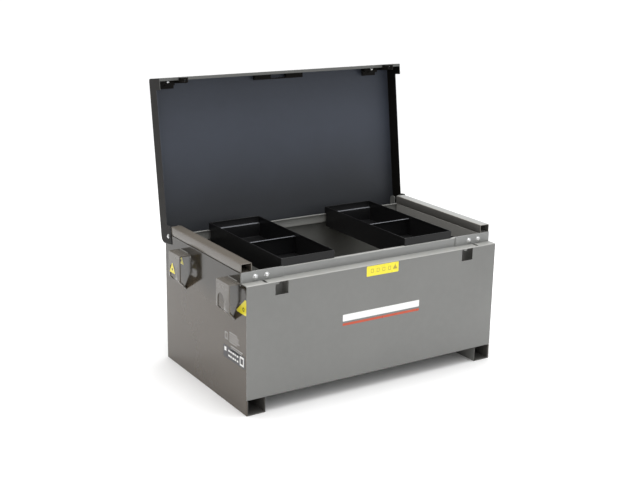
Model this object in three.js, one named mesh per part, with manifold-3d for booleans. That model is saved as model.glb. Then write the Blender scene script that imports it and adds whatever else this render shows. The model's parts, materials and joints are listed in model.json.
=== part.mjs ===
// Steel site storage chest with a hinged pan lid, two hanging trays, lifting brackets and skids.
// Millimetres, +Z up, +X to the right along the front, +Y to the rear. The lid is modelled open.
import * as THREE from 'three';
import { mergeVertices } from 'three/addons/utils/BufferGeometryUtils.js';
import Module from 'manifold-3d';

const wasm = await Module();
wasm.setup();

// ---- driving dimensions -------------------------------------------------------------------
const GAP = 0.3;                 // air between pieces that touch
const BODY_WIDTH = 1200;         // over the side panels
const BODY_DEPTH = 704;          // over the front and rear panels
const SHEET = 3;                 // body sheet
const BEND = 5;                  // outside bend radius of the body sheet
const SKID_HEIGHT = 62;
const SKID_WIDTH = 82;
const LEDGE_HEIGHT = 520;        // top of the front and rear ledges
const LEDGE_DEPTH = 46.4;        // from the panel face back to the rim
const RIM_HEIGHT = 37;           // rim upstand above the ledge
const RIM_HEM = 12;              // inward fold on top of the rim
const BOTTOM_FLANGE = 25;        // inward fold at the bottom of the front and rear panels
const SPLICE = 420.5;            // where the front's middle length meets its two corner lengths

const RAIL_WIDTH = 47;
const RAIL_HEIGHT = 37;
const RAIL_INSET = 1;            // rail face inside the side panel's face
const RAIL_REAR_GAP = 56;        // rail's rear end in front of the rear panel's face
const SKIRT_FOOT = 500;          // bottom of the strip that closes off the side wall under a rail

const LOCK_NOTCH = { centre: 449, width: 57, bottom: 466 };
const LOCK_SLOT = { centre: 510, width: 12, front: 7, length: 36 };
const NOTCH_TAB = { width: 16, height: 7, offsets: { left: 0, right: 10 } };
const POCKET = { inner: 410, outer: 534, bottom: 440, depth: 57, sheet: 2 };
const RIM_PLATE = { inner: 417, thickness: 3.3, rise: 4 };
const RIM_BOLT = { places: [490, 539], height: 537, radius: 5 };

const BRACKET = {
  reach: 50, width: 102, thickness: 5, top: 520.4, bend: 413, toe: 364.5, toeWidth: 16,
  slotWidth: 51, slotTop: 473, slotOffset: 13, slotFoot: 404,
  places: { left: { front: -254, rear: 165 }, right: { front: -190, rear: 229 } },
};

const LID_SHEET = 2;
const LID_SIDE_CLEARANCE = 0.5;  // lid's inner side face outside the body's side
const LID_OPEN = 97.9;           // degrees from closed to open
const PIVOT = { y: 315, z: 549, radius: 5, clearance: 0.4 };
const LID_TOP = 73.6;             // lid's top face above the pivot, closed
const LID_FRONT = 649.6;         // lid's front face ahead of the pivot
const LID_REAR = 32.5;           // lid's rear face behind the pivot
const LID_FRONT_FLANGE = 101.5;
const LID_SIDE_FLANGE = 65.3;
const LID_REAR_FLANGE = 31.3;
const LID_CORNER_LENGTH = 47.4;  // deep part of the side flange at the front
const LID_EAR = { depth: 97.9, length: 45.6 };
const LID_LIP = 12;              // return at the edge of the front flange
const LID_FRONT_BEND = 10;
const LID_REAR_BEND = 28;

const HINGE_LUG = { inner: 550, outer: 598, front: 306.2, rear: 341, top: 588, sheet: 3, corner: 15 };

const LATCH = {
  x: 510, tongue: 5, tongueWidth: 22, reach: 172, base: 64, baseTop: 18, baseBottom: 50,
  depth: { byTongue: 30, byRail: 25.5, shelf: 43 }, step: 38.5, shelfBottom: 28,
  hole: 7, holeDepth: 148, lipCut: 7,
};
const LID_HANDLE = { feet: [[-122, -41], [36, 121]], footHeight: 31, depth: 12, thickness: 17, bar: 5 };

const TRAY = {
  width: 240, top: 588, floor: 500, sheet: 2, end: 301.5, hook: 288, places: { left: -303, right: 278 },
};
const DIVIDER = { centre: -8, top: 575, sheet: 2, hem: 8 };

// ---- derived places -----------------------------------------------------------------------
const HALF_WIDTH = BODY_WIDTH / 2;
const HALF_DEPTH = BODY_DEPTH / 2;
const RIM_FACE = HALF_DEPTH - LEDGE_DEPTH;        // distance of the rim's outer face from mid depth
const RIM_TOP = LEDGE_HEIGHT + RIM_HEIGHT;
const SIDE_INNER = HALF_WIDTH - SHEET;

// ---- materials ----------------------------------------------------------------------------
const paint = (color, roughness, metalness) =>
  new THREE.MeshStandardMaterial({ color, roughness, metalness });
const GREY_PAINT = paint(0x898a86, 0.35, 0.1);
const DARK_GREY_PAINT = paint(0x5c5d5a, 0.45, 0.1);
const BLACK_PAINT = paint(0x23262a, 0.35, 0.1);
const ZINC = paint(0xc9ccd0, 0.3, 0.9);

// ---- solids -------------------------------------------------------------------------------
function toManifold(geometry) {
  const plain = geometry.clone();
  plain.deleteAttribute('normal');
  plain.deleteAttribute('uv');
  const merged = mergeVertices(plain, 1e-4);
  return new wasm.Manifold(new wasm.Mesh({
    numProp: 3,
    vertProperties: new Float32Array(merged.attributes.position.array),
    triVerts: new Uint32Array(merged.index.array),
  }));
}

function toGeometry(solid) {
  const mesh = solid.getMesh();
  const geometry = new THREE.BufferGeometry();
  geometry.setAttribute('position', new THREE.BufferAttribute(mesh.vertProperties, 3));
  geometry.setIndex(new THREE.BufferAttribute(mesh.triVerts, 1));
  geometry.computeVertexNormals();
  return geometry;
}

const join = (first, ...others) => others.reduce((sum, solid) => sum.add(solid), first);
const cut = (first, ...others) => others.reduce((rest, solid) => rest.subtract(solid), first);

function block(x0, x1, y0, y1, z0, z1) {
  const geometry = new THREE.BoxGeometry(x1 - x0, y1 - y0, z1 - z0);
  geometry.translate((x0 + x1) / 2, (y0 + y1) / 2, (z0 + z1) / 2);
  return toManifold(geometry);
}

// A closed outline pushed along one axis. Outline points are in the other two axes' order:
// along X they are [y, z], along Y they are [z, x], along Z they are [x, y].
function prism(axis, outline, from, to) {
  const shape = new THREE.Shape(outline.map(([u, v]) => new THREE.Vector2(u, v)));
  const geometry = new THREE.ExtrudeGeometry(shape, { depth: to - from, bevelEnabled: false });
  geometry.translate(0, 0, from);
  const turn = new THREE.Matrix4();
  if (axis === 'x') turn.set(0, 0, 1, 0, 1, 0, 0, 0, 0, 1, 0, 0, 0, 0, 0, 1);
  if (axis === 'y') turn.set(0, 1, 0, 0, 0, 0, 1, 0, 1, 0, 0, 0, 0, 0, 0, 1);
  geometry.applyMatrix4(turn);
  return toManifold(geometry);
}

function roundBar(axis, radius, from, to, u, v, sides = 24) {
  const outline = arc(u, v, radius, 0, 360, sides).slice(0, -1);
  return prism(axis, outline, from, to);
}

// Points on an arc, angles in degrees from the first outline axis towards the second.
function arc(cu, cv, radius, start, end, steps = 5) {
  const points = [];
  for (let i = 0; i <= steps; i += 1) {
    const angle = THREE.MathUtils.degToRad(start + (end - start) * i / steps);
    points.push([cu + radius * Math.cos(angle), cv + radius * Math.sin(angle)]);
  }
  return points;
}

function part(name, material, solid) {
  const mesh = new THREE.Mesh(toGeometry(solid), material);
  mesh.name = name;
  return mesh;
}

const SIDES = [['left', -1], ['right', 1]];
const mirrored = (solid, side) => (side < 0 ? solid.mirror([1, 0, 0]) : solid);

// ---- body ---------------------------------------------------------------------------------
// Folded sections in [y, z]. The wall is a sheet with a bottom flange.
function wallSection() {
  const face = -HALF_DEPTH;
  const low = SKID_HEIGHT;
  const top = LEDGE_HEIGHT - BEND - GAP;
  return [
    [face + BOTTOM_FLANGE, low], ...arc(face + BEND, low + BEND, BEND, 270, 180), [face, top],
    [face + SHEET, top], ...arc(face + BEND, low + BEND, BEND - SHEET, 180, 270),
    [face + BOTTOM_FLANGE, low + SHEET],
  ];
}

// The rim profile stands on the wall: outer bend, ledge, upstand and hem.
function rimSection() {
  const face = -HALF_DEPTH;
  const rim = -RIM_FACE;
  const inner = BEND - SHEET;
  return [
    ...arc(face + BEND, LEDGE_HEIGHT - BEND, BEND, 180, 90), [rim, LEDGE_HEIGHT],
    ...arc(rim + BEND, RIM_TOP - BEND, BEND, 180, 90), [rim + RIM_HEM, RIM_TOP],
    [rim + RIM_HEM, RIM_TOP - SHEET], ...arc(rim + BEND, RIM_TOP - BEND, inner, 90, 180),
    [rim + SHEET, LEDGE_HEIGHT - SHEET], ...arc(face + BEND, LEDGE_HEIGHT - BEND, inner, 90, 180),
  ];
}

// The wall's flange and the rim's hem stop inside the side panels.
function endTrims(y0, y1, z0, z1) {
  const inside = SIDE_INNER - GAP;
  const outside = HALF_WIDTH + 1;
  return [block(-outside, -inside, y0, y1, z0, z1), block(inside, outside, y0, y1, z0, z1)];
}

function wall(x0 = -HALF_WIDTH, x1 = HALF_WIDTH) {
  const trims = endTrims(-HALF_DEPTH + SHEET, 0, SKID_HEIGHT - 1, LEDGE_HEIGHT);
  return cut(prism('x', wallSection(), x0, x1), ...trims);
}

function rim(x0 = -HALF_WIDTH, x1 = HALF_WIDTH) {
  const trims = [
    ...endTrims(-RIM_FACE + SHEET, 0, LEDGE_HEIGHT, RIM_TOP + 1),
    ...endTrims(-HALF_DEPTH + SHEET, -RIM_FACE, 0, LEDGE_HEIGHT - SHEET),
  ];
  return cut(prism('x', rimSection(), x0, x1), ...trims);
}

function lockSlot() {
  const { width, front, length, centre } = LOCK_SLOT;
  const radius = width / 2;
  const y0 = -HALF_DEPTH + front + radius;
  const y1 = y0 + length - width;
  const outline = [...arc(centre, y1, radius, 0, 180, 8), ...arc(centre, y0, radius, 180, 360, 8)];
  return prism('z', outline, LEDGE_HEIGHT - 2 * SHEET, LEDGE_HEIGHT + 1);
}

function rimBoltHoles() {
  const { places, height, radius } = RIM_BOLT;
  const holes = places.map((x) =>
    roundBar('y', radius + 0.5, -RIM_FACE - 6, -RIM_FACE + 6, height, x, 16));
  return join(...holes);
}

function lockNotch(side) {
  const { centre, width, bottom } = LOCK_NOTCH;
  const x0 = side * centre - width / 2;
  return block(x0, x0 + width, -HALF_DEPTH - 1, -HALF_DEPTH + BEND, bottom, LEDGE_HEIGHT - SHEET);
}

function notchTab(name, side) {
  const x0 = side * LOCK_NOTCH.centre - LOCK_NOTCH.width / 2 + NOTCH_TAB.offsets[name];
  const top = LEDGE_HEIGHT - SHEET;
  return block(x0, x0 + NOTCH_TAB.width, -HALF_DEPTH, -HALF_DEPTH + SHEET, top - NOTCH_TAB.height,
    top + 1);
}

function frontMiddle() {
  const end = SPLICE - GAP;
  return [part('front_panel', GREY_PAINT, wall(-end, end)), part('front_rim', GREY_PAINT, rim(-end, end))];
}

function frontCorner(name, side) {
  const ends = side < 0 ? [-HALF_WIDTH, -SPLICE] : [SPLICE, HALF_WIDTH];
  const sheet = cut(wall(...ends), lockNotch(side));
  const profile = cut(rim(...ends), lockNotch(side), mirrored(lockSlot(), side),
    mirrored(rimBoltHoles(), side));
  return [
    part(`front_corner_${name}`, GREY_PAINT, sheet),
    part(`rim_corner_${name}`, GREY_PAINT, join(profile, notchTab(name, side))),
  ];
}

function rearPanel() {
  return part('rear_panel', GREY_PAINT, wall().mirror([0, 1, 0]));
}

function rearRim() {
  return part('rear_rim', GREY_PAINT, rim().mirror([0, 1, 0]));
}

function sidePanel(name, side) {
  const low = SKID_HEIGHT - GAP;
  const depth = HALF_DEPTH - SHEET - GAP;
  const shoulder = LEDGE_HEIGHT - SHEET - GAP;
  const rim = RIM_FACE - SHEET - GAP;
  const half = [
    [HALF_DEPTH, 0], [HALF_DEPTH, low], [depth, low], [depth, shoulder], [rim, shoulder],
    [rim, RIM_TOP],
  ];
  const outline = [...half, ...half.map(([y, z]) => [-y, z]).reverse()];
  const plate = prism('x', outline, SIDE_INNER, HALF_WIDTH);
  return part(`${name}_side_panel`, GREY_PAINT, mirrored(plate, side));
}

function floorPanel() {
  const x = SIDE_INNER - GAP;
  const y = HALF_DEPTH - BEND - GAP;
  const z = SKID_HEIGHT + SHEET + GAP;
  return part('floor_panel', DARK_GREY_PAINT, block(-x, x, -y, y, z, z + SHEET));
}

function skid(name, side) {
  const outer = SIDE_INNER - GAP;
  const inner = HALF_WIDTH - SKID_WIDTH;
  const top = SKID_HEIGHT - GAP;
  const outline = [
    [0, inner], [top, inner], [top, inner + SHEET], [SHEET, inner + SHEET],
    [SHEET, outer - SHEET], [top, outer - SHEET], [top, outer], [0, outer],
  ];
  const channel = prism('y', outline, -HALF_DEPTH, HALF_DEPTH);
  return part(`${name}_skid`, GREY_PAINT, mirrored(channel, side));
}

function rail(name, side) {
  const outer = HALF_WIDTH - RAIL_INSET;
  const inner = outer - RAIL_WIDTH;
  const low = RIM_TOP + GAP;
  const high = RIM_TOP + RAIL_HEIGHT;
  const front = -RIM_FACE;
  const rear = HALF_DEPTH - RAIL_REAR_GAP;
  const radius = 4;
  const section = [
    ...arc(high - radius, outer - radius, radius, 0, 90, 3),
    ...arc(low + radius, outer - radius, radius, 90, 180, 3),
    ...arc(low + radius, inner + radius, radius, 180, 270, 3),
    ...arc(high - radius, inner + radius, radius, 270, 360, 3),
  ];
  const tube = cut(prism('y', section, front, rear),
    block(inner + SHEET, outer - SHEET, front - 1, rear + 1, low + SHEET, high - SHEET));
  return part(`${name}_rail`, GREY_PAINT, mirrored(tube, side));
}

// Flat strip under the rail's inner face, between the front and rear rims.
function railSkirt(name, side) {
  const inner = HALF_WIDTH - RAIL_INSET - RAIL_WIDTH;
  const end = RIM_FACE - RIM_HEM - 2 * GAP;
  return part(`${name}_rail_skirt`, GREY_PAINT,
    mirrored(block(inner, inner + SHEET, -end, end, SKIRT_FOOT, RIM_TOP), side));
}

function rimPlate(name, side) {
  const face = -RIM_FACE - GAP;
  const plate = block(RIM_PLATE.inner, HALF_WIDTH - RAIL_INSET, face - RIM_PLATE.thickness, face,
    LEDGE_HEIGHT + GAP, RIM_TOP + RIM_PLATE.rise);
  return part(`rim_plate_${name}`, GREY_PAINT, mirrored(cut(plate, rimBoltHoles()), side));
}

// Domed bolt with its washer, drawn at the origin with its head towards -Y.
function rimBolt(name, x) {
  const face = -RIM_PLATE.thickness - 2 * GAP;
  const profile = [
    [0, face - 7], [4, face - 6.6], [7.5, face - 4.8], [9, face - 1.6], [11.5, face - 1.6],
    [11.5, face], [RIM_BOLT.radius, face], [RIM_BOLT.radius, 9], [0, 9],
  ].map(([radius, y]) => new THREE.Vector2(radius, y));
  const mesh = new THREE.Mesh(new THREE.LatheGeometry(profile, 20), ZINC);
  mesh.name = name;
  mesh.position.set(x, -RIM_FACE, RIM_BOLT.height);
  return mesh;
}

function lockPocket(name, side) {
  const { inner, outer, bottom, depth, sheet } = POCKET;
  const y0 = -HALF_DEPTH + SHEET + GAP;
  const top = LEDGE_HEIGHT - BEND - GAP;
  const shell = cut(block(inner, outer, y0, y0 + depth, bottom, top),
    block(inner + sheet, outer - sheet, y0 - 1, y0 + depth - sheet, bottom + sheet, top + 1));
  return part(`lock_pocket_${name}`, DARK_GREY_PAINT, mirrored(shell, side));
}

// Folded lifting bracket: top plate, outer plate with an arched slot, and a lower plate that
// slants back to the side panel and narrows to a toe. The right ones are the left ones turned round.
function liftingBracket(end, name, side) {
  const { reach, width, thickness, top, bend, toe, toeWidth } = BRACKET;
  const wall = HALF_WIDTH + GAP;
  const outer = HALF_WIDTH + reach;
  const inner = outer - thickness;
  const centre = -side * BRACKET.places[name][end];
  const section = [
    [top, wall], [top, outer], [bend, outer], [toe, wall],
    [toe + 7, wall], [bend + 2, inner], [top - thickness, inner], [top - thickness, wall],
  ];
  const folded = prism('y', section, centre - width / 2, centre + width / 2);
  const tapers = [-1, 1].map((hand) => {
    const edge = centre + hand * (width / 2 + 1);
    const outline = [[outer, edge], [wall - 1, edge], [wall - 1, centre + hand * toeWidth / 2]];
    return prism('z', hand > 0 ? outline : outline.reverse(), toe - 1, bend - 1);
  });
  const { slotWidth, slotTop, slotOffset, slotFoot } = BRACKET;
  const radius = slotWidth / 2;
  const slotCentre = centre + slotOffset;
  const arch = prism('x', [
    [slotCentre - radius, slotFoot], [slotCentre + radius, slotFoot],
    ...arc(slotCentre, slotTop - radius, radius, 0, 180, 10),
  ], inner - 6, outer + 1);
  const onLeft = cut(folded, ...tapers, arch).mirror([1, 0, 0]);
  return part(`lifting_bracket_${end}_${name}`, GREY_PAINT,
    side < 0 ? onLeft : onLeft.rotate([0, 0, 180]));
}

// ---- hinge --------------------------------------------------------------------------------
function hingeLug(name, side) {
  const { inner, outer, front, rear, top, sheet, corner } = HINGE_LUG;
  const base = LEDGE_HEIGHT + GAP;
  const cheek = (x0, x1) => cut(
    prism('x', [
      [front, base], [rear, base], ...arc(rear - corner, top - corner, corner, 0, 90, 6),
      ...arc(front + 5, top - 5, 5, 90, 180, 3),
    ], x0, x1),
    roundBar('x', PIVOT.radius + PIVOT.clearance, x0 - 1, x1 + 1, PIVOT.y, PIVOT.z),
  );
  const channel = join(cheek(inner, inner + sheet), cheek(outer - sheet, outer),
    block(inner, outer, front + 10, rear, base, base + sheet));
  return part(`hinge_lug_${name}`, GREY_PAINT, mirrored(channel, side));
}

function pivotBolt(name, side) {
  const { radius, y, z } = PIVOT;
  const lidFace = HALF_WIDTH + LID_SIDE_CLEARANCE + LID_SHEET;
  const shank = roundBar('x', radius, HINGE_LUG.inner - 10, lidFace + GAP, y, z);
  const washer = roundBar('x', 9.5, lidFace + GAP, lidFace + GAP + 1.2, y, z);
  const head = roundBar('x', 7.5, lidFace + GAP + 1.2, lidFace + GAP + 4.5, y, z, 20);
  return part(`pivot_bolt_${name}`, ZINC, mirrored(join(shank, washer, head), side));
}

function pivotNut(name, side) {
  const { radius, y, z } = PIVOT;
  const hexagon = roundBar('x', 8.6, HINGE_LUG.inner - 8.5, HINGE_LUG.inner - GAP, y, z, 6);
  const bore = roundBar('x', radius + GAP, HINGE_LUG.inner - 12, HINGE_LUG.inner, y, z);
  return part(`pivot_nut_${name}`, ZINC, mirrored(cut(hexagon, bore), side));
}

// ---- lid: drawn closed, with the pivot as its origin ----------------------------------------
const lidDepth = (depth) => LID_TOP - depth;

function lidPan() {
  const flangeEdge = lidDepth(LID_SIDE_FLANGE);
  const earEdge = lidDepth(LID_EAR.depth);
  const frontEdge = lidDepth(LID_FRONT_FLANGE);
  const outerFace = HALF_WIDTH + LID_SIDE_CLEARANCE + LID_SHEET;
  const outline = [
    [-LID_FRONT, frontEdge], [-LID_FRONT + LID_CORNER_LENGTH, frontEdge],
    [-LID_FRONT + LID_CORNER_LENGTH, flangeEdge], [-LID_EAR.length, flangeEdge],
    [-LID_EAR.length, earEdge], [LID_REAR, earEdge],
    ...arc(LID_REAR - LID_REAR_BEND, LID_TOP - LID_REAR_BEND, LID_REAR_BEND, 0, 90, 8),
    ...arc(-LID_FRONT + LID_FRONT_BEND, LID_TOP - LID_FRONT_BEND, LID_FRONT_BEND, 90, 180, 5),
  ];
  const t = LID_SHEET;
  const below = earEdge - 50;
  const rearEdge = lidDepth(LID_REAR_FLANGE);
  const hollow = [
    [-LID_FRONT + t, frontEdge + t], [-LID_FRONT + LID_LIP, frontEdge + t],
    [-LID_FRONT + LID_LIP, below], [LID_REAR + 50, below], [LID_REAR + 50, rearEdge],
    [LID_REAR - t, rearEdge],
    ...arc(LID_REAR - LID_REAR_BEND, LID_TOP - LID_REAR_BEND, LID_REAR_BEND - t, 0, 90, 8),
    ...arc(-LID_FRONT + LID_FRONT_BEND, LID_TOP - LID_FRONT_BEND, LID_FRONT_BEND - t, 90, 180, 5),
  ];
  const innerFace = outerFace - t;
  const pan = cut(prism('x', outline, -outerFace, outerFace), prism('x', hollow, -innerFace, innerFace));
  const pivotHole = roundBar('x', PIVOT.radius + PIVOT.clearance, -outerFace - 1, outerFace + 1, 0, 0);
  const lipCuts = SIDES.map(([, side]) => block(
    side * LATCH.x - LATCH.lipCut, side * LATCH.x + LATCH.lipCut,
    -LID_FRONT + t, -LID_FRONT + LID_LIP + 1, frontEdge - 1, frontEdge + t + 1,
  ));
  return part('lid_pan', BLACK_PAINT, cut(pan, pivotHole, ...lipCuts));
}

// Both latch brackets are the same piece: a pressed base on the left of an eyed tongue.
function lidLatch(name, side) {
  const face = -LID_FRONT + LID_SHEET + GAP;
  const { tongue, tongueWidth, reach, base, baseTop, baseBottom, depth, step } = LATCH;
  const x1 = side * LATCH.x + tongue / 2;
  const x0 = x1 - tongue;
  const plate = prism('x', [
    [face, lidDepth(baseTop)], [face, lidDepth(reach)], [face + tongueWidth - 9, lidDepth(reach)],
    ...arc(face + tongueWidth - 9, lidDepth(reach - 9), 9, 270, 360, 5),
    [face + tongueWidth, lidDepth(baseTop)],
  ], x0, x1);
  const eye = roundBar('x', LATCH.hole, x0 - 1, x1 + 1, face + tongueWidth / 2, lidDepth(LATCH.holeDepth), 20);
  const radius = 5;
  const shell = prism('z', [
    [x0 + 1, face], [x0 + 1, face + depth.byTongue], [x0 - step, face + depth.byTongue],
    [x0 - step, face + depth.byRail],
    ...arc(x0 - base + radius, face + depth.byRail - radius, radius, 90, 180, 4),
    [x0 - base, face],
  ], lidDepth(baseBottom), lidDepth(baseTop));
  const hollow = block(x0 - base + 4, x0 - 3, face - 1, face + depth.byRail - 4,
    lidDepth(baseBottom - 4), lidDepth(baseTop) + 1);
  const shelf = block(x0 - base, x1, face + depth.byRail - 4, face + depth.shelf,
    lidDepth(LATCH.shelfBottom), lidDepth(baseTop));
  return part(`lid_latch_${name}`, BLACK_PAINT, join(cut(shell, hollow), shelf, cut(plate, eye)));
}

function latchBolt(name, side) {
  const z = lidDepth(LATCH.baseBottom) - GAP;
  const bolt = new THREE.Mesh(new THREE.LatheGeometry([
    [0, -6.5], [4, -6], [6.5, -4], [7.5, 0], [0, 0],
  ].map(([radius, y]) => new THREE.Vector2(radius, y)), 16), ZINC);
  bolt.name = `latch_bolt_${name}`;
  bolt.rotation.x = Math.PI / 2;
  bolt.position.set(side * LATCH.x - 32, -LID_FRONT + 16, z);
  return bolt;
}

// Closing handle inside the front flange: two feet and a bar.
function lidHandle() {
  const face = -LID_FRONT + LID_SHEET + GAP;
  const { feet, footHeight, depth, thickness, bar } = LID_HANDLE;
  const z0 = lidDepth(depth + thickness);
  const z1 = lidDepth(depth);
  const pads = feet.map(([x0, x1]) => block(x0, x1, face, face + footHeight, z0, z1));
  const middle = block(feet[0][1] - 1, feet[1][0] + 1, face + footHeight - bar, face + footHeight,
    z0 + 4, z1 - 4);
  return part('lid_handle', BLACK_PAINT, join(...pads, middle));
}

function lid() {
  const group = new THREE.Group();
  group.add(lidPan(), lidHandle());
  for (const [name, side] of SIDES) group.add(lidLatch(name, side), latchBolt(name, side));
  group.position.set(0, PIVOT.y, PIVOT.z);
  group.rotation.x = -THREE.MathUtils.degToRad(LID_OPEN);
  return group;
}

// ---- trays --------------------------------------------------------------------------------
function trayPan(name) {
  const { width, top, floor, sheet, end, hook } = TRAY;
  const half = width / 2;
  const seat = RIM_TOP + GAP;
  const outer = join(block(-half, half, -hook, hook, floor, top), block(-half, half, -end, end, seat, top));
  const inner = half - sheet;
  const hollow = join(
    block(-inner, inner, -hook + sheet, hook - sheet, floor + sheet, top + 1),
    block(-inner, inner, -end + sheet, end - sheet, seat + sheet, top + 1),
  );
  return part(`tray_${name}`, BLACK_PAINT, cut(outer, hollow));
}

function trayDivider(name) {
  const half = TRAY.width / 2 - TRAY.sheet - GAP;
  const { centre, top, sheet, hem } = DIVIDER;
  const floor = TRAY.floor + TRAY.sheet + GAP;
  const plate = block(-half, half, centre, centre + sheet, floor, top);
  const fold = block(-half, half, centre - hem + sheet, centre + sheet, top - sheet, top);
  return part(`tray_divider_${name}`, BLACK_PAINT, join(plate, fold));
}

function tray(name) {
  const group = new THREE.Group();
  group.add(trayPan(name), trayDivider(name));
  group.position.x = TRAY.places[name];
  return group;
}

// ---- assembly -----------------------------------------------------------------------------
const chest = new THREE.Group();
chest.add(...frontMiddle(), rearPanel(), rearRim(), floorPanel());
for (const [name, side] of SIDES) {
  chest.add(...frontCorner(name, side), sidePanel(name, side), skid(name, side), rail(name, side));
  chest.add(railSkirt(name, side), rimPlate(name, side), lockPocket(name, side));
  RIM_BOLT.places.forEach((x, i) => chest.add(rimBolt(`rim_bolt_${name}_${i + 1}`, side * x)));
  chest.add(liftingBracket('front', name, side), liftingBracket('rear', name, side));
  chest.add(hingeLug(name, side), pivotBolt(name, side), pivotNut(name, side));
  chest.add(tray(name));
}
chest.add(lid());

// The origin is the bottom centre of the whole object with its lid open.
const assembly = new THREE.Group();
assembly.add(chest);
assembly.updateMatrixWorld(true);
const extent = new THREE.Box3().setFromObject(chest, true);
chest.position.y = -(extent.min.y + extent.max.y) / 2;

export default assembly;
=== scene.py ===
"""Looks of a sheet-steel site storage chest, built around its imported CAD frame. Metres throughout."""

import json
import math

import bmesh
import bpy
from mathutils import Matrix, Vector


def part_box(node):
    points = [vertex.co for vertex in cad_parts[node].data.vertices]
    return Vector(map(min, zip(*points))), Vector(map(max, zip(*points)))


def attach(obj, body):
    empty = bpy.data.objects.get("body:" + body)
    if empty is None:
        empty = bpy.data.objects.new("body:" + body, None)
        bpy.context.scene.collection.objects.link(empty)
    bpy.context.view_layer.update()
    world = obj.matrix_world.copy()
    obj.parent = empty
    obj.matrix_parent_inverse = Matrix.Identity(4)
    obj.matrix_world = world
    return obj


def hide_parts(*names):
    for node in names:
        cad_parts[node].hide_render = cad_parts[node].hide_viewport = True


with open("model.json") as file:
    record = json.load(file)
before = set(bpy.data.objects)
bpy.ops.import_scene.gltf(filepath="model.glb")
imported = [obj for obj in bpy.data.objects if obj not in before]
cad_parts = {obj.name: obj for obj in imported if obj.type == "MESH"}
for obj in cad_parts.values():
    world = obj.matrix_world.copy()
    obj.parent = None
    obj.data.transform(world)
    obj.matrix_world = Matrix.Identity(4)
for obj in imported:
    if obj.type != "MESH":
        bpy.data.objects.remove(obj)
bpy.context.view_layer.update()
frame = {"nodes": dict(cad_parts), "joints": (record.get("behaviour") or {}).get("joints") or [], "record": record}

MM = 0.001
CAD_GAP = 0.3 * MM               # what CAD solids that touch keep between them
BODIES = frame["record"]["behaviour"]["bodies"]
SIDES = (("left", -1), ("right", 1))
PIVOT = next(Vector(j["pos_m"]) for j in frame["joints"] if j["name"] == "lid_hinge")


# ---- places taken from the frame --------------------------------------------------------------
def low(node):
    return Vector(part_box(node)[0])


def high(node):
    return Vector(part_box(node)[1])


FRONT = low("front_panel").y                      # the front panel's outer face
MID = (FRONT + high("rear_panel").y) / 2          # middle of the chest's depth
SIDE = high("right_side_panel").x                 # a side panel's outer face
RIM_PLATE_FACE = 3.6 * MM                         # from a rim plate's front to the rim behind it


def depth(y_mm):
    """A place along Y, in millimetres from the middle of the chest's depth."""
    return MID + y_mm * MM


# ---- materials --------------------------------------------------------------------------------
class Nodes:
    """Short names for building a node tree, a material's or the world's."""

    def __init__(self, tree, coordinates="Object"):
        self.tree = tree
        self.place = tree.nodes.new("ShaderNodeTexCoord").outputs[coordinates]

    def link(self, source, target):
        self.tree.links.new(source, target)

    def put(self, value, target):
        """Sets an input to a number or colour, or links a socket to it."""
        if isinstance(value, bpy.types.NodeSocket):
            self.link(value, target)
        elif isinstance(value, tuple) and len(value) == 3 and target.type == "RGBA":
            target.default_value = (*value, 1)
        else:
            target.default_value = value

    def noise(self, scale, detail=2.0, roughness=0.5):
        node = self.tree.nodes.new("ShaderNodeTexNoise")
        node.inputs["Scale"].default_value = scale
        node.inputs["Detail"].default_value = detail
        node.inputs["Roughness"].default_value = roughness
        self.link(self.place, node.inputs["Vector"])
        return node.outputs["Fac"]

    def math(self, operation, first, second):
        node = self.tree.nodes.new("ShaderNodeMath")
        node.operation = operation
        self.put(first, node.inputs[0])
        self.put(second, node.inputs[1])
        return node.outputs[0]

    def ramp(self, value, start, end, out_low=0.0, out_high=1.0):
        """A smooth step from one output to the other, as the value goes from start to end."""
        node = self.tree.nodes.new("ShaderNodeMapRange")
        node.interpolation_type = "SMOOTHSTEP"
        self.put(value, node.inputs["Value"])
        self.put(start, node.inputs["From Min"])
        self.put(end, node.inputs["From Max"])
        self.put(out_low, node.inputs["To Min"])
        self.put(out_high, node.inputs["To Max"])
        return node.outputs["Result"]

    def mix(self, factor, first, second):
        node = self.tree.nodes.new("ShaderNodeMix")
        node.data_type = "RGBA"
        self.put(factor, node.inputs["Factor"])
        self.put(first, node.inputs["A"])
        self.put(second, node.inputs["B"])
        return node.outputs["Result"]

    def axis(self, name):
        """One coordinate of the place that is shaded."""
        node = self.tree.nodes.new("ShaderNodeSeparateXYZ")
        self.link(self.place, node.inputs[0])
        return node.outputs[name]

    def bevel(self, radius):
        """The normal, rounded off near the edges."""
        node = self.tree.nodes.new("ShaderNodeBevel")
        node.samples = 6
        node.inputs["Radius"].default_value = radius
        return node.outputs["Normal"]

    def edges(self, radius):
        """1 along the outer edges, 0 on flat faces."""
        geometry = self.tree.nodes.new("ShaderNodeNewGeometry")
        dot = self.tree.nodes.new("ShaderNodeVectorMath")
        dot.operation = "DOT_PRODUCT"
        self.link(self.bevel(radius), dot.inputs[0])
        self.link(geometry.outputs["Normal"], dot.inputs[1])
        return self.ramp(dot.outputs["Value"], 0.995, 0.9)

    def bump(self, height, distance, strength=1.0, normal=None):
        node = self.tree.nodes.new("ShaderNodeBump")
        node.inputs["Strength"].default_value = strength
        node.inputs["Distance"].default_value = distance
        self.put(height, node.inputs["Height"])
        if normal is not None:
            self.link(normal, node.inputs["Normal"])
        return node.outputs["Normal"]


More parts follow.
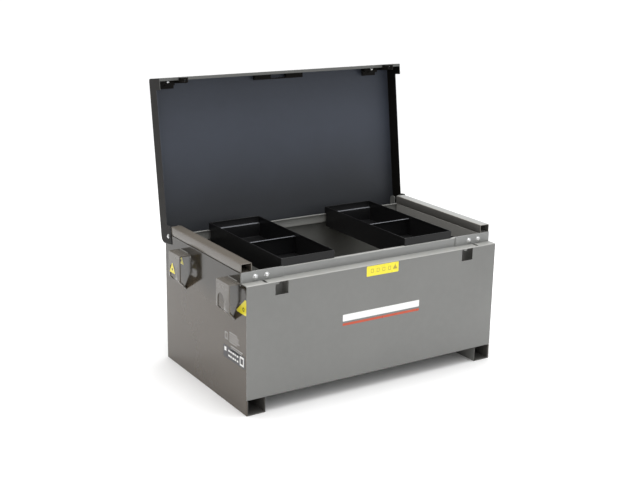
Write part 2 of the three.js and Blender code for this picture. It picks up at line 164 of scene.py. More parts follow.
class Look(Nodes):
    """One material's nodes, round its principled shader."""

    def __init__(self, name):
        self.material = bpy.data.materials.new(name)
        self.material.use_nodes = True
        self.material.node_tree.nodes.clear()
        super().__init__(self.material.node_tree)
        self.shader = self.tree.nodes.new("ShaderNodeBsdfPrincipled")
        output = self.tree.nodes.new("ShaderNodeOutputMaterial")
        self.tree.links.new(self.shader.outputs["BSDF"], output.inputs["Surface"])

    def finish(self, **sockets):
        """Sets the shader's inputs, named with _ for each space, and returns the material."""
        for name, value in sockets.items():
            self.put(value, self.shader.inputs[name.replace("_", " ")])
        return self.material


def sheet_paint(name, colour, edge_wear_and_highlight, roughness, coat, specular=0.5, wave=0.0012, shade=None):
    """Gloss paint on sheet steel: orange peel, the sheet's slow waves, fine tone changes, and paler edges that are
    part wear and part painted highlight.

    shade is (start, end, tone): painted shade, from the start height to the end height the paint turns to that
    tone."""
    n = Look(name)
    cloud = n.noise(3.4, 3)
    fine = n.noise(31, 5, 0.55)
    base = n.mix(n.ramp(cloud, 0.3, 0.7), colour, tuple(c * 0.93 for c in colour))
    base = n.mix(n.ramp(fine, 0.35, 0.7, 0, 0.35), base, tuple(c * 1.05 for c in colour))
    if shade:
        start, end, tone = shade
        height = n.math("ADD", n.axis("Z"), n.ramp(n.noise(4, 3), 0.2, 0.8, -0.03, 0.03))
        base = n.mix(n.ramp(height, start, end), base, tone)
    # Paler colour along the edges: part wear, part a painted highlight where the edges catch the light.
    edge = n.math("MULTIPLY", n.edges(0.0012), n.ramp(n.noise(90, 3), 0.35, 0.6, 0.2, 0.75))
    base = n.mix(edge, base, edge_wear_and_highlight)
    rough = n.ramp(fine, 0.3, 0.7, roughness - 0.02, roughness + 0.03)
    normal = n.bump(n.noise(2.6, 1), wave, 1.0, n.bevel(0.0009))
    normal = n.bump(n.noise(620, 2), 0.00004, 0.5, normal)
    return n.finish(Base_Color=base, Roughness=rough, Normal=normal, Coat_Weight=coat,
                    Coat_Roughness=0.07, Specular_IOR_Level=specular)


def zinc_plate(name):
    """Bright zinc with fine cloudy patches, a little yellower than the rest."""
    n = Look(name)
    cloud = n.noise(210, 4, 0.6)
    tint = n.mix(n.ramp(cloud, 0.35, 0.7), (0.72, 0.73, 0.75), (0.56, 0.56, 0.525))
    rough = n.ramp(n.noise(520, 3), 0.3, 0.8, 0.2, 0.38)
    normal = n.bump(n.noise(1400, 2), 0.00003, 0.6, n.bevel(0.0004))
    return n.finish(Base_Color=tint, Roughness=rough, Normal=normal, Metallic=1.0)


def film(name, colour):
    """Printed vinyl: slightly uneven ink and a faint ripple."""
    n = Look(name)
    ink = n.ramp(n.noise(130, 4, 0.65), 0.3, 0.75)
    base = n.mix(ink, colour, tuple(c * 0.95 for c in colour))
    rough = n.ramp(n.noise(60, 3), 0.3, 0.8, 0.27, 0.42)
    normal = n.bump(n.noise(240, 2), 0.00004, 0.6)
    return n.finish(Base_Color=base, Roughness=rough, Normal=normal, Coat_Weight=0.15)


def weld_metal(name, colour):
    """Painted weld bead: the paint pools in its ripples."""
    n = Look(name)
    base = n.mix(n.ramp(n.noise(300, 4, 0.7), 0.35, 0.7), colour, tuple(c * 0.7 for c in colour))
    normal = n.bump(n.noise(500, 3), 0.0002, 0.8)
    return n.finish(Base_Color=base, Roughness=n.ramp(n.noise(150, 2), 0.3, 0.7, 0.28, 0.5),
                    Normal=normal, Coat_Weight=0.4)


# Lit and shaded copies of the chest's one grey, as painted light and painted shade: its front, its rims, what
# faces up, and so on to its shaded insides.
# The sides' darker, warmer tone of the grey: painted shade.
SIDE_PAINTED_SHADE_TONE = (0.070, 0.054, 0.037)
GREY = sheet_paint("grey_gloss_paint", (0.158, 0.159, 0.151), (0.36, 0.36, 0.35), 0.3, 0.45)
# The rims and rim plates, a lighter copy of the grey: painted light.
RIM_GREY_PAINTED_LIGHT = sheet_paint("grey_gloss_paint_rim_painted_light", (0.225, 0.228, 0.222), (0.40, 0.40, 0.39), 0.3, 0.45)
# Faces that look up, a lighter copy of the grey: painted light from overhead.
TOP_GREY_PAINTED_LIGHT = sheet_paint("grey_paint_painted_light_facing_up", (0.285, 0.285, 0.270), (0.44, 0.44, 0.43), 0.35, 0.35)
# The rails, a darker, warmer copy of the grey: painted shade.
RAIL_GREY_PAINTED_SHADE = sheet_paint("grey_gloss_paint_rails_painted_shade", (0.120, 0.105, 0.086), (0.28, 0.26, 0.24), 0.3, 0.4)
# The sides: painted shade, turning darker still from 0.36 m up as painted shade under the rail.
SIDE_GREY_PAINTED_SHADE = sheet_paint("grey_gloss_paint_sides_painted_shade", SIDE_PAINTED_SHADE_TONE, (0.20, 0.18, 0.16), 0.15, 0.3,
                        specular=0.3, wave=0.001, shade=(0.36, 0.47, (0.027, 0.022, 0.015)))
# The lifting brackets, a darker copy of the grey: painted shade.
BRACKET_GREY_PAINTED_SHADE = sheet_paint("grey_gloss_paint_brackets_painted_shade", (0.114, 0.103, 0.089), (0.28, 0.27, 0.25), 0.25,
                           0.5, specular=0.35)
INNER_GREY = sheet_paint("grey_inside_paint", (0.175, 0.175, 0.163), (0.26, 0.26, 0.25), 0.45, 0.1)
# Lock pockets and rail skirts, a lighter copy of the grey: painted light in their hollows.
POCKET_GREY_PAINTED_LIGHT = sheet_paint("grey_pocket_paint_painted_light", (0.30, 0.295, 0.28), (0.3, 0.3, 0.29), 0.5, 0.0)
# The rails' inner faces and, below, the skids' insides, darker copies of the grey: painted shade.
RAIL_INSIDE_PAINTED_SHADE = sheet_paint("shaded_rail_paint", (0.108, 0.106, 0.100), (0.15, 0.15, 0.14), 0.5, 0.0)
SKID_INSIDE_PAINTED_SHADE = sheet_paint("shaded_skid_paint", (0.085, 0.082, 0.076), (0.1, 0.1, 0.09), 0.5, 0.0)
# The lid and the trays.
BLACK = sheet_paint("black_gloss_paint", (0.010, 0.009, 0.008), (0.03, 0.03, 0.03), 0.3, 0.0, 0.05)
# The lid's front lip, a lighter copy of its black: a painted highlight.
LID_LIP_PAINTED_HIGHLIGHT = sheet_paint("lid_lip_painted_highlight", (0.092, 0.093, 0.088), (0.14, 0.14, 0.135), 0.35, 0.1)
# The lid's hollow side, lighter and bluer than its black: painted light; darker towards its foot: painted shade.
LID_INSIDE_PAINTED_LIGHT_AND_SHADE = sheet_paint("black_satin_paint_painted_light_and_shade", (0.046, 0.053, 0.070), (0.08, 0.082, 0.085), 0.42, 0.0, 0.3,
                         shade=(0.95, 0.55, (0.024, 0.026, 0.030)))
TRAY_BLACK = sheet_paint("black_tray_paint", (0.009, 0.009, 0.0095), (0.04, 0.042, 0.046), 0.3, 0.0, 0.25)
# The trays' upward shelves and divider hem, a lighter copy of their black: a painted sheen.
TRAY_PAINTED_SHEEN = sheet_paint("tray_paint_painted_sheen", (0.15, 0.155, 0.17), (0.3, 0.3, 0.31), 0.3, 0.2)
# Fasteners, labels and welds.
ZINC = zinc_plate("bright_zinc")
YELLOW = film("yellow_film", (0.86, 0.74, 0.03))
WHITE = film("white_film", (0.86, 0.86, 0.85))
FAINT = film("faint_print", (0.34, 0.33, 0.32))
ORANGE = film("orange_film", (0.50, 0.060, 0.018))
INK = film("black_film", (0.014, 0.013, 0.018))
INK_FADED = film("faded_ink", (0.42, 0.33, 0.04))
# Film in the sides' painted-shade tone, filling the inside of the rating print's outlined box.
WARM_PATCH = film("side_tone", SIDE_PAINTED_SHADE_TONE)
WELD = weld_metal("painted_weld", (0.23, 0.225, 0.21))


# ---- mesh helpers -----------------------------------------------------------------------------
def piece(name, mesh, body, slot, *materials):
    """A new piece that rides on a body."""
    item = bpy.data.objects.new(name, mesh)
    bpy.context.collection.objects.link(item)
    for material in materials:
        mesh.materials.append(material)
    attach(item, body)
    return item


def to_mesh(name, bm, smooth_angle=40.0):
    """Smooth shading, with edges sharper than the angle left sharp."""
    bmesh.ops.recalc_face_normals(bm, faces=bm.faces)
    mesh = bpy.data.meshes.new(name)
    bm.to_mesh(mesh)
    bm.free()
    mesh.shade_smooth()
    mesh.set_sharp_from_angle(angle=math.radians(smooth_angle))
    return mesh


def sheet_piece(name, source, body, slot, *materials, pick=None):
    """A piece of sheet metal with its cut edges and corners rounded off.

    pick gives each face the number of its material, from its middle and its normal."""
    bm = bmesh.new()
    bm.from_mesh(source)
    bmesh.ops.remove_doubles(bm, verts=bm.verts, dist=0.01 * MM)
    bmesh.ops.dissolve_limit(bm, angle_limit=math.radians(0.6), verts=bm.verts, edges=bm.edges)
    bm.normal_update()
    if pick:
        for face in bm.faces:
            face.material_index = int(pick(face.calc_center_median(), face.normal))
    item = piece(name, to_mesh(name, bm, 32.0), body, slot, *materials)
    modifier = item.modifiers.new("rounded_edges", "BEVEL")
    modifier.width = 0.7 * MM
    modifier.segments = 2
    modifier.limit_method = "ANGLE"
    modifier.angle_limit = math.radians(35.0)
    modifier.use_clamp_overlap = True
    return item


def refine(node, body, slot, *materials, pick=None):
    """Replaces a CAD node by the same sheet with rounded edges."""
    item = sheet_piece(node + "_sheet", frame["nodes"][node].data, body, slot, *materials, pick=pick)
    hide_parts(node)


def ring(bm, centre, axis_u, axis_v, radius_u, radius_v, sides):
    """Points round an ellipse."""
    return [bm.verts.new(centre + axis_u * (radius_u * math.cos(2 * math.pi * i / sides))
                         + axis_v * (radius_v * math.sin(2 * math.pi * i / sides)))
            for i in range(sides)]


def skin_rings(bm, rings, closed=False):
    """Faces from ring to ring, and over the two ends unless the rings close on themselves."""
    pairs = list(zip(rings, rings[1:]))
    if closed:
        pairs.append((rings[-1], rings[0]))
    for first, second in pairs:
        for i in range(len(first)):
            j = (i + 1) % len(first)
            bm.faces.new((first[i], first[j], second[j], second[i]))
    if not closed:
        bm.faces.new(list(reversed(rings[0])))
        bm.faces.new(rings[-1])


def weld_bead(name, runs, radius=2.4 * MM):
    """Rippled bead along each run, half sunk in the corner that it fills."""
    pitch = 3.2 * MM
    steps_per_ripple = 3
    sides = 8
    bm = bmesh.new()
    for start, end in runs:
        start, end = Vector(start), Vector(end)
        along = (end - start).normalized()
        side = along.orthogonal().normalized()
        other = along.cross(side)
        count = max(2 * steps_per_ripple, int((end - start).length / pitch) * steps_per_ripple)
        rings = []
        for i in range(count + 1):
            t = i / count
            ripple = 0.86 + 0.2 * abs(math.sin(math.pi * i / steps_per_ripple + 0.6))
            wander = 0.12 * math.sin(i * 1.7) + 0.08 * math.sin(i * 0.41)
            taper = min(1.0, 0.35 + 4 * min(t, 1 - t) * count / 6)
            size = radius * (ripple + 0.1 * wander) * taper
            rings.append(ring(bm, start.lerp(end, t), side, other, size, size, sides))
        skin_rings(bm, rings)
    piece(name, to_mesh(name, bm, 80), "chest", "grey_paint", WELD)


def plate_from(bm, outline, origin, across, up, out, thickness, index):
    """Extrudes an outline in millimetres on a plane, outwards by the thickness."""
    def at(u, v, w):
        return origin + across * (u * MM) + up * (v * MM) + out * w
    bottom = [bm.verts.new(at(u, v, 0.0)) for u, v in outline]
    top = [bm.verts.new(at(u, v, thickness)) for u, v in outline]
    faces = [bm.faces.new(top), bm.faces.new(list(reversed(bottom)))]
    for i in range(len(outline)):
        j = (i + 1) % len(outline)
        faces.append(bm.faces.new((bottom[i], bottom[j], top[j], top[i])))
    for face in faces:
        face.material_index = index


def rounded(u0, u1, v0, v1, radius, steps=4):
    """Rectangle with round corners."""
    corners = ((u1 - radius, v1 - radius, 0), (u0 + radius, v1 - radius, 90),
               (u0 + radius, v0 + radius, 180), (u1 - radius, v0 + radius, 270))
    points = []
    for cu, cv, start in corners:
        for i in range(steps + 1):
            a = math.radians(start + 90 * i / steps)
            points.append((cu + radius * math.cos(a), cv + radius * math.sin(a)))
    return points


def round_triangle(cu, cv, size, radius, steps=5):
    """Triangle with round corners, one of them up. The size is from its middle to its sharp corners."""
    points = []
    for k in range(3):
        middle = math.radians(90 + 120 * k)
        ou = cu + (size - 2 * radius) * math.cos(middle)
        ov = cv + (size - 2 * radius) * math.sin(middle)
        for i in range(steps + 1):
            a = middle - math.radians(60) + math.radians(120) * i / steps
            points.append((ou + radius * math.cos(a), ov + radius * math.sin(a)))
    return points


def disc(cu, cv, radius, steps=16):
    return [(cu + radius * math.cos(2 * math.pi * i / steps),
             cv + radius * math.sin(2 * math.pi * i / steps)) for i in range(steps)]


FILM = 0.12 * MM                 # thickness of a printed film
FILM_STEP = 0.10 * MM            # from one layer of a label to the next


def sticker(name, plane, layers):
    """Thin printed film on a flat face. A layer is (outline, height in the stack, material)."""
    origin, across, up = plane
    out = across.cross(up)
    bm = bmesh.new()
    materials = []
    for outline, level, material in layers:
        if material not in materials:
            materials.append(material)
        foot = origin + out * (FILM + FILM_STEP * level)
        plate_from(bm, outline, foot, across, up, out, FILM, materials.index(material))
    piece(name, to_mesh(name, bm), "chest", "grey_paint", *materials)


# ---- sheet metal ------------------------------------------------------------------------------
def boolean(target, cutter, operation):
    """Joins or cuts two meshes and returns the result as a new mesh."""
    first = bpy.data.objects.new("boolean_first", target)
    second = bpy.data.objects.new("boolean_second", cutter)
    for item in (first, second):
        bpy.context.collection.objects.link(item)
    modifier = first.modifiers.new("boolean", "BOOLEAN")
    modifier.operation = operation
    modifier.object = second
    modifier.solver = "EXACT"
    modified = first.evaluated_get(bpy.context.evaluated_depsgraph_get())
    result = bpy.data.meshes.new_from_object(modified)
    for item in (first, second):
        bpy.data.objects.remove(item)
    return result


def prism_mesh(outline, axis, start, end):
    """Closed outline pushed along X (points are y, z) or along Z (points are x, y)."""
    def at(u, v, w):
        return (w, u, v) if axis == "x" else (u, v, w)
    bm = bmesh.new()
    rings = [[bm.verts.new(at(u, v, w)) for u, v in outline] for w in (start, end)]
    skin_rings(bm, rings)
    return to_mesh("prism", bm)


def arc(cu, cv, radius, start, end, steps=7):
    """Points along an arc, between two angles in degrees."""
    return [(cu + radius * math.cos(math.radians(start + (end - start) * i / steps)),
             cv + radius * math.sin(math.radians(start + (end - start) * i / steps)))
            for i in range(steps + 1)]


def block(x0, x1, y0, y1, z0, z1):
    return prism_mesh([(x0, y0), (x1, y0), (x1, y1), (x0, y1)], "z", z0, z1)


SHEET = 3.0 * MM                 # thickness of the front and rear sheets
BEND = 5.0 * MM                  # outer radius of their folds
FOOT_FLANGE = 25 * MM            # width of the flange at a sheet's foot
HEM = 12 * MM                    # width of the hem at its top
END_GAP = 3.3 * MM               # the flange, ledge and rim stop short of the chest's sides by this much
NOTCH_FROM = 420.5 * MM          # a lock notch in the front sheet, from the middle of the chest
NOTCH_TO = 477.5 * MM
NOTCH_SILL = 466 * MM            # height of its lower edge
TAB_WIDTH = 16 * MM              # a short tab that hangs from the ledge into the notch
TAB_DROP = 7 * MM
TAB_INSET = {-1: 0, 1: 10 * MM}  # from the notch's left edge, on the left and on the right
SLOT_X = 510 * MM                # a lock slot in the ledge, for the lid's latch tongue
SLOT_RADIUS = 6 * MM
SLOT_NEAR = 13 * MM              # its rounded ends' middles, behind the front face
SLOT_FAR = 37 * MM


def fold_outline(face, upstand, foot, ledge, top):
    """Section of a folded sheet: foot flange, wall, ledge, rim and hem, then back along its inside."""
    inner = BEND - SHEET
    return ([(-face + FOOT_FLANGE, foot)] + arc(-face + BEND, foot + BEND, BEND, 270, 180)
            + arc(-face + BEND, ledge - BEND, BEND, 180, 90) + [(-upstand, ledge)]
            + arc(-upstand + BEND, top - BEND, BEND, 180, 90) + [(-upstand + HEM, top)]
            + [(-upstand + HEM, top - SHEET)] + arc(-upstand + BEND, top - BEND, inner, 90, 180)
            + [(-upstand + SHEET, ledge - SHEET)] + arc(-face + BEND, ledge - BEND, inner, 90, 180)
            + arc(-face + BEND, foot + BEND, inner, 180, 270) + [(-face + FOOT_FLANGE, foot + SHEET)])


def lock_openings(mesh, side, face, ledge):
    """Cuts a lock notch, with its tab, in the front sheet and a lock slot in the ledge."""
    front = MID - face
    under = ledge - SHEET
    x0, x1 = sorted((side * NOTCH_FROM, side * NOTCH_TO))
    mesh = boolean(mesh, block(x0, x1, front - BEND, front + BEND, NOTCH_SILL, under), "DIFFERENCE")
    tab = x0 + TAB_INSET[side]
    mesh = boolean(mesh, block(tab, tab + TAB_WIDTH, front, front + SHEET, under - TAB_DROP,
                               under + 1 * MM), "UNION")
    slot = (arc(side * SLOT_X, front + SLOT_FAR, SLOT_RADIUS, 0, 180, 10)
            + arc(side * SLOT_X, front + SLOT_NEAR, SLOT_RADIUS, 180, 360, 10))
    return boolean(mesh, prism_mesh(slot, "z", ledge - 2 * SHEET, ledge + SHEET), "DIFFERENCE")


def folded_sheet(end):
    """The front or rear of the chest as the one folded sheet that its lengths are welded into."""
    towards = -1 if end == "front" else 1
    wall, rim = f"{end}_panel", f"{end}_rim"
    face = abs((low(wall) if towards < 0 else high(wall)).y - MID)
    face_inside = face - 2 * MM
    upstand = abs((low("rim_plate_left").y + RIM_PLATE_FACE) - MID)
    foot, ledge, top = low(wall).z, low("rim_plate_left").z - CAD_GAP, high(rim).z
    outline = [(MID - towards * y, z) for y, z in fold_outline(face, upstand, foot, ledge, top)]
    mesh = prism_mesh(outline, "x", -SIDE, SIDE)
    for side in (-1, 1):
        x0, x1 = sorted((side * (SIDE - END_GAP), side * (SIDE + BEND)))
        for y0, y1, z0, z1 in ((-face + SHEET, -upstand, foot - BEND, ledge - SHEET),
                               (-upstand + SHEET, 0, ledge, top + BEND)):
            ys = sorted((MID - towards * y0, MID - towards * y1))
            mesh = boolean(mesh, block(x0, x1, *ys, z0, z1), "DIFFERENCE")
    if end == "front":
        for side in (-1, 1):
            mesh = lock_openings(mesh, side, face, ledge)

    # Faces up and the rear's inner face take the painted-light grey; upright faces above the ledge take the rim's
    # painted-light grey.
    def pick(middle, normal):
        upright = abs(normal.y) > 0.5
        if normal.z > 0.5 or (end == "rear" and upright and middle.y - MID < face_inside):
            return 2
        return upright and middle.z > ledge
    item = sheet_piece(f"{end}_folded_sheet", mesh, "chest", "grey_paint", GREY, RIM_GREY_PAINTED_LIGHT, TOP_GREY_PAINTED_LIGHT,
                       pick=pick)
    stands_for = [wall, rim]
    if end == "front":
        stands_for += [f"{part}_{name}" for part in ("front_corner", "rim_corner") for name, _ in SIDES]
    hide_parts(*stands_for)


def lid_inside():
    """Picks the lid pan's hollow side, which takes painted light and painted shade, and the lip along its front
    flange, which takes a painted highlight.
    """
    bottom, top = low("lid_pan").z, high("lid_pan").z
    lip_foot = top - 20 * MM
    above_ears = bottom + 300 * MM

    def pick(middle, normal):
        if normal.y < -0.5 and middle.z > lip_foot:
            return 2
        under_flange = normal.z < -0.5 and middle.z > above_ears
        return abs(normal.x) < 0.9 and (normal.y < -0.5 or under_flange)
    return pick


def skid_faces(node):
    """Picks a skid's outer face, which carries on the side panel's painted-shade grey, and its inside, which takes
    painted shade.
    """
    lo, hi = low(node), high(node)
    wall = 2.9 * MM
    side = math.copysign(1, lo.x)

    def pick(middle, normal):
        if normal.x * side > 0.9 and abs(middle.x) > max(abs(lo.x), abs(hi.x)) - wall:
            return 1
        hollow = lo.x + wall < middle.x < hi.x - wall and middle.z > wall
        return 2 if hollow or (normal.x * side < -0.9 and abs(middle.x) > abs(lo.x + hi.x) / 2) else 0
    return pick


def rail_faces(side):
    """Picks a rail's inner face, which takes painted shade, and on the right its top, which takes painted light.
    """
    def pick(middle, normal):
        if normal.x * side < -0.9:
            return 1
        return 2 if side > 0 and normal.z > 0.9 else 0
    return pick


def tray_painted_sheen(node):
    """Says whether a face takes a tray's painted sheen, a painted highlight: its end shelves and the divider's
    hem.
    """
    seat = high("front_rim").z + 2.3 * MM
    hem = high(node).z if "divider" in node else seat
    return lambda middle, normal: normal.z > 0.9 and abs(middle.z - hem) < 0.5 * MM


def dress_nodes():
    """Rounds off the edges of each sheet and gives every node its material."""
    look = {"grey_paint": GREY, "dark_grey_paint": INNER_GREY, "black_paint": BLACK, "zinc_plate": ZINC}
    slots = {row["node"]: row["material_slot"] for row in frame["record"]["subparts"]}
    whole = ("front_panel", "front_rim", "rear_panel", "rear_rim", "front_corner", "rim_corner")
    for body, nodes in BODIES.items():
        for node in nodes:
            slot = slots[node]
            if node.startswith(whole):
                continue
            if node.startswith("tray"):
                refine(node, body, slot, TRAY_BLACK, TRAY_PAINTED_SHEEN, pick=tray_painted_sheen(node))
            elif node == "lid_pan":
                refine(node, body, slot, BLACK, LID_INSIDE_PAINTED_LIGHT_AND_SHADE, LID_LIP_PAINTED_HIGHLIGHT, pick=lid_inside())
            elif "skid" in node:
                refine(node, body, slot, GREY, SIDE_GREY_PAINTED_SHADE, SKID_INSIDE_PAINTED_SHADE, pick=skid_faces(node))
            elif "lock_pocket" in node or "rail_skirt" in node:
                refine(node, body, slot, POCKET_GREY_PAINTED_LIGHT)
            elif node.endswith("_rail"):
                side = -1 if node.startswith("left") else 1
                refine(node, body, slot, RAIL_GREY_PAINTED_SHADE, RAIL_INSIDE_PAINTED_SHADE, TOP_GREY_PAINTED_LIGHT, pick=rail_faces(side))
            elif "rim_plate" in node:
                refine(node, body, slot, RIM_GREY_PAINTED_LIGHT)
            elif "side_panel" in node:
                refine(node, body, slot, SIDE_GREY_PAINTED_SHADE)
            elif "lifting_bracket" in node:
                refine(node, body, slot, BRACKET_GREY_PAINTED_SHADE)
            elif slot != "zinc_plate" and node != "floor_panel":
                refine(node, body, slot, look[slot])
            else:
                for holder in frame["nodes"][node].material_slots:
                    holder.material = look[slot]


def tray_beads():
    """Rolled bead round the top edge of each tray, where the paint catches the light."""
    inset, radius, corner = 1.9 * MM, 2.1 * MM, 6 * MM
    flattened, steps = 0.85, 5
    for name, _ in SIDES:
        lo, hi = low(f"tray_{name}"), high(f"tray_{name}")
        z = hi.z - 0.8 * MM
        path = []
        for cx, cy, start in ((hi.x, hi.y, 0), (lo.x, hi.y, 90), (lo.x, lo.y, 180), (hi.x, lo.y, 270)):
            ox = cx - math.copysign(inset + corner, cx - (lo.x + hi.x) / 2)
            oy = cy - math.copysign(inset + corner, cy - (lo.y + hi.y) / 2)
            for i in range(steps + 1):
                a = math.radians(start + 90 * i / steps)
                path.append((Vector((ox + corner * math.cos(a), oy + corner * math.sin(a), z)),
                             Vector((math.cos(a), math.sin(a), 0))))
        bm = bmesh.new()
        rings = [ring(bm, point, outward, Vector((0, 0, 1)), radius, radius * flattened, 10)
                 for point, outward in path]
        skin_rings(bm, rings, closed=True)
        piece(f"tray_{name}_rolled_edge", to_mesh(name, bm, 60), f"{name}_tray", "black_paint",
              TRAY_BLACK)


# ---- fasteners --------------------------------------------------------------------------------
def lathe(bm, profile, centre, axis, sides=24):
    """Turns (radius, height) pairs in millimetres about an axis."""
    axis = Vector(axis).normalized()
    side = axis.orthogonal().normalized()
    other = axis.cross(side)
    rings = [ring(bm, centre + axis * (h * MM), side, other, r * MM, r * MM, sides)
             for r, h in profile]
    skin_rings(bm, rings)


# A domed bolt on its washer, as (radius, height) in millimetres.
DOMED_BOLT = ((5.2, -1), (11.4, -1), (11.5, -0.2), (11.2, 0.5), (10.9, 0.8), (8.9, 0.9), (8.9, 1.7),
              (8.6, 2.6), (7.6, 4.2), (6.0, 5.6), (4.2, 6.4), (2.2, 6.8), (0.3, 6.9))
BOLT_STAND = 7.6 * MM            # from the CAD bolt's front end back to the profile's zero height
CREST, ROOT = 4.95, 4.3          # radii of the pivot bolt's thread, in millimetres
THREAD_PITCH, THREAD_END = 1.1, 11.0


def rim_bolts():
    """Domed bolts on washers, through the joining plates."""
    for name, _ in SIDES:
        for number in (1, 2):
            node = f"rim_bolt_{name}_{number}"
            lo, hi = low(node), high(node)
            foot = Vector(((lo.x + hi.x) / 2, lo.y + BOLT_STAND, (lo.z + hi.z) / 2))
            bm = bmesh.new()
            lathe(bm, DOMED_BOLT, foot, (0, -1, 0))
            item = piece(node + "_head", to_mesh(node, bm, 50), "chest", "zinc_plate", ZINC)
            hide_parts(node)


def pivot_hardware():
    """Threaded pivot bolts: a chamfered tip, the thread, a plain shank, a washer and the head."""
    for name, side in SIDES:
        node = f"pivot_bolt_{name}"
        lo, hi = low(node), high(node)
        inner = lo.x if side > 0 else hi.x
        outer = hi.x if side > 0 else lo.x
        length = abs(outer - inner) / MM
        profile = [(0.3, 0.0), (3.6, 0.0), (4.6, 1.0)]
        height = 1.0
        while height < THREAD_END:
            profile += [(CREST, height + 0.35), (ROOT, height + 0.9)]
            height += THREAD_PITCH
        profile += [(CREST, 12.5), (CREST, length - 4.5), (9.4, length - 4.4), (9.4, length - 3.4),
                    (7.3, length - 3.3), (7.3, length - 0.9), (6.2, length), (0.3, length)]
        bm = bmesh.new()
        lathe(bm, profile, Vector((inner, PIVOT.y, PIVOT.z)), (side, 0, 0), 20)
        item = piece(node + "_threaded", to_mesh(node, bm, 40), "chest", "zinc_plate", ZINC)
        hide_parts(node)


# ---- welds ------------------------------------------------------------------------------------
def bracket_weld(node, side):
    """Runs along a lifting bracket's top, under its foot and down its two sides."""
    x = side * (SIDE + 0.4 * MM)
    lo, hi = low(node), high(node)
    middle = (lo.y + hi.y) / 2
    top = hi.z + 0.6 * MM
    under = lo.z - 0.6 * MM
    runs = [((x, lo.y + 24 * MM, top), (x, hi.y - 3 * MM, top)),
            ((x, middle - 8 * MM, under), (x, middle + 8 * MM, under))]
    for y in (lo.y - 0.5 * MM, hi.y + 0.5 * MM):
        runs.append(((x, y, hi.z - 12 * MM), (x, y, hi.z - 5 * MM)))
    weld_bead(f"{node}_weld", runs)


def rail_weld(node, side):
    """A short run along a rail's lower inner edge, behind the front rim."""
    inner = low(node).x if side > 0 else high(node).x
    start = low("front_rim").y + 48 * MM
    z = low(node).z
    weld_bead(f"{node}_weld", [((inner, start, z), (inner, start + 12 * MM, z))], 1.8 * MM)


def skid_weld(node, side):
    """Four spaced runs along a skid's inner top edge."""
    first, spacing, run = 60 * MM, 165 * MM, 45 * MM
    inner = low(node).x if side > 0 else high(node).x
    z = high(node).z + 0.3 * MM
    starts = [low(node).y + first + spacing * k for k in range(4)]
    weld_bead(f"{node}_weld", [((inner, y, z), (inner, y + run, z)) for y in starts], 2 * MM)


def welds():
    for name, side in SIDES:
        for end in ("front", "rear"):
            bracket_weld(f"lifting_bracket_{end}_{name}", side)
        rail_weld(f"{name}_rail", side)
        skid_weld(f"{name}_skid", side)


# ---- labels -----------------------------------------------------------------------------------
# A label's outlines are in millimetres, across from the middle of the face and up from the ground.
FRONT_FACE = (Vector((0, FRONT, 0)), Vector((1, 0, 0)), Vector((0, 0, 1)))
LEFT_FACE = (Vector((-SIDE, MID, 0)), Vector((0, -1, 0)), Vector((0, 0, 1)))


def strip_label():
    """Yellow label under the ledge: a row of plain outlined squares and a triangle."""
    first, spacing, line = -42, 28, 2.2
    layers = [(rounded(-62, 93, 474, 516, 3), 0, YELLOW)]
    for k in range(4):
        u = first + spacing * k
        layers.append((rounded(u, u + 13, 487, 503, 1.5), 1, INK_FADED))
        layers.append((rounded(u + line, u + 13 - line, 489, 501, 1), 2, YELLOW))
    layers.append((round_triangle(76, 494, 13, 1.2), 1, INK_FADED))
    sticker("front_strip_label", FRONT_FACE, layers)


def stripe_badge():
    """Plain white bar over a thin orange one."""
    left, right = -170, 205
    sticker("front_stripe_badge", FRONT_FACE, [
        (rounded(left, right, 306, 334, 3), 0, WHITE),
        (rounded(left, right, 288, 298, 2), 0, ORANGE),
    ])


def rating_print():
    """Faint print on the left side: an outlined box, five short rows and three narrow ones."""
    layers = [(rounded(178, 202, 262, 292, 2), 0, FAINT), (rounded(182, 198, 267, 287, 1.5), 1, WARM_PATCH)]
    for k, width in enumerate((64, 78, 70, 82, 60)):
        v = 296 - 9.5 * k
        layers.append((rounded(214, 214 + width, v, v + 4.5, 1), 0, FAINT))
    for k in range(3):
        layers.append((rounded(226, 320 - 6 * k, 243 - 8 * k, 247 - 8 * k, 1), 0, FAINT))
    sticker("side_rating_print", LEFT_FACE, layers)


def dark_label():
    """Dark label under it: plain white blocks in two rows, between a patch and a frame."""
    first, spacing = 206, 17
    layers = [(rounded(166, 340, 186, 236, 2), 0, INK), (rounded(174, 190, 212, 229, 1), 1, WHITE),
              (rounded(298, 330, 192, 230, 1), 1, WHITE), (rounded(304, 324, 200, 222, 1), 2, INK)]
    for v in (216, 196):
        for k in range(5):
            u = first + spacing * k
            layers.append((rounded(u, u + 12 - 2 * (k % 2), v, v + 8, 0.8), 1, WHITE))
    sticker("side_dark_label", LEFT_FACE, layers)


def triangle_labels():
    """Yellow triangles with a plain dot, beside and on the lifting brackets."""
    sticker("triangle_label_far", LEFT_FACE, [
        (round_triangle(-206, 474, 29, 3), 0, YELLOW), (disc(-206, 473, 5), 1, INK)])
    # The near one runs up to the panel's edge, so only its left part is on this side.
    edge = 349
    sticker("triangle_label_near", LEFT_FACE, [
        ([(edge, 407), (edge, 463), (edge - 9, 465), (edge - 76, 408), (edge - 72, 403), (edge - 6, 403)],
         0, YELLOW), (disc(edge - 21, 424, 8), 1, INK), (disc(edge - 19, 424, 4.5), 2, YELLOW)])
    bracket = low("lifting_bracket_rear_left").x
    on_bracket = (Vector((bracket, MID, 0)), Vector((0, -1, 0)), Vector((0, 0, 1)))
    sticker("triangle_label_bracket", on_bracket, [
        (round_triangle(-182, 449, 30, 3), 0, YELLOW), (disc(-182, 449, 5.5), 1, INK)])


def labels():
    strip_label()
    stripe_badge()
    rating_print()
    dark_label()
    triangle_labels()


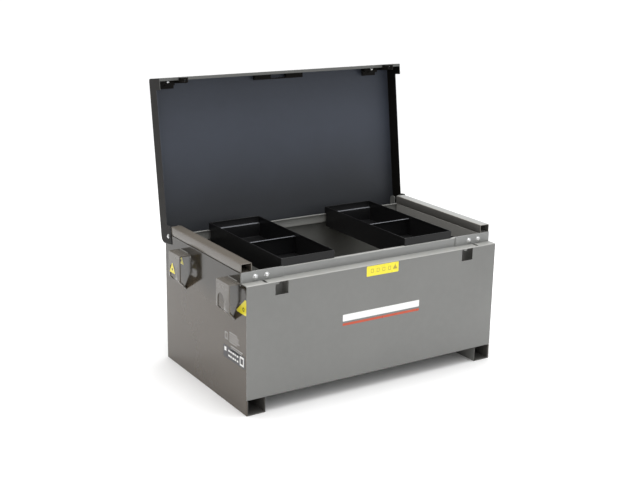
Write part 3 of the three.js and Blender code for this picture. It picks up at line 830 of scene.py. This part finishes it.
# ---- stage, light and camera --------------------------------------------------------------------
def floor():
    bm = bmesh.new()
    bmesh.ops.create_grid(bm, x_segments=4, y_segments=4, size=60)
    mesh = to_mesh("floor", bm)
    item = bpy.data.objects.new("floor", mesh)
    bpy.context.collection.objects.link(item)
    n = Look("pale_floor")
    tone = n.ramp(n.noise(0.8, 2), 0.3, 0.7)
    mesh.materials.append(n.finish(Base_Color=n.mix(tone, (0.9, 0.9, 0.9), (0.88, 0.88, 0.88)),
                                   Roughness=n.ramp(n.noise(3), 0.3, 0.7, 0.75, 0.9)))


def area_light(name, place, aim, size, power, colour=(1, 1, 1)):
    data = bpy.data.lights.new(name, "AREA")
    data.shape = "RECTANGLE"
    data.size, data.size_y = size
    data.energy = power
    data.color = colour
    item = bpy.data.objects.new(name, data)
    bpy.context.collection.objects.link(item)
    item.location = place
    item.rotation_mode = "QUATERNION"
    item.rotation_quaternion = (Vector(aim) - Vector(place)).to_track_quat("-Z", "Y")


def soft_room():
    """Even white room, brighter overhead and a little darker and warmer on the left."""
    world = bpy.data.worlds.new("soft_room")
    world.use_nodes = True
    n = Nodes(world.node_tree, "Generated")
    overhead = n.ramp(n.axis("Z"), 0.25, 0.85)
    left = n.ramp(n.axis("X"), -0.35, -0.9)
    tone = n.mix(overhead, (0.72, 0.74, 0.76), (1.5, 1.5, 1.5))
    background = n.tree.nodes["Background"]
    n.link(n.mix(left, tone, (0.40, 0.36, 0.32)), background.inputs["Color"])
    background.inputs["Strength"].default_value = 1.0
    return world


def lighting():
    bpy.context.scene.view_settings.view_transform = "Standard"
    bpy.context.scene.world = soft_room()
    area_light("overhead_softbox", (0, -0.1, 4.2), (0, -0.1, 0), (3.2, 3.2), 120)
    area_light("front_softbox", (0.8, -5.2, 2.2), (0, 0, 0.4), (4.0, 2.4), 10, (1.0, 0.99, 0.97))


CAMERA_PLACE = (-2.474579, depth(-3762.853), 1.809422)
YAW, PITCH, ROLL = 0.571009, 0.277257, 0.018722      # radians: right of +Y, downwards, right side up
FOCAL = 1.736893                                     # focal length as a share of the picture's width
SENSOR = 36.0                                        # millimetres


def camera():
    data = bpy.data.cameras.new("camera")
    data.sensor_width = SENSOR
    data.lens = FOCAL * SENSOR
    item = bpy.data.objects.new("camera", data)
    bpy.context.collection.objects.link(item)
    look = Vector((math.sin(YAW) * math.cos(PITCH), math.cos(YAW) * math.cos(PITCH), -math.sin(PITCH)))
    level = Vector((math.cos(YAW), -math.sin(YAW), 0))
    upright = level.cross(look)
    across = level * math.cos(ROLL) + upright * math.sin(ROLL)
    up = upright * math.cos(ROLL) - level * math.sin(ROLL)
    turned = Matrix((across, up, -look)).transposed().to_4x4()
    item.matrix_world = Matrix.Translation(CAMERA_PLACE) @ turned
    bpy.context.scene.camera = item


camera()
lighting()
floor()
folded_sheet("front")
folded_sheet("rear")
dress_nodes()
tray_beads()
rim_bolts()
pivot_hardware()
welds()
labels()
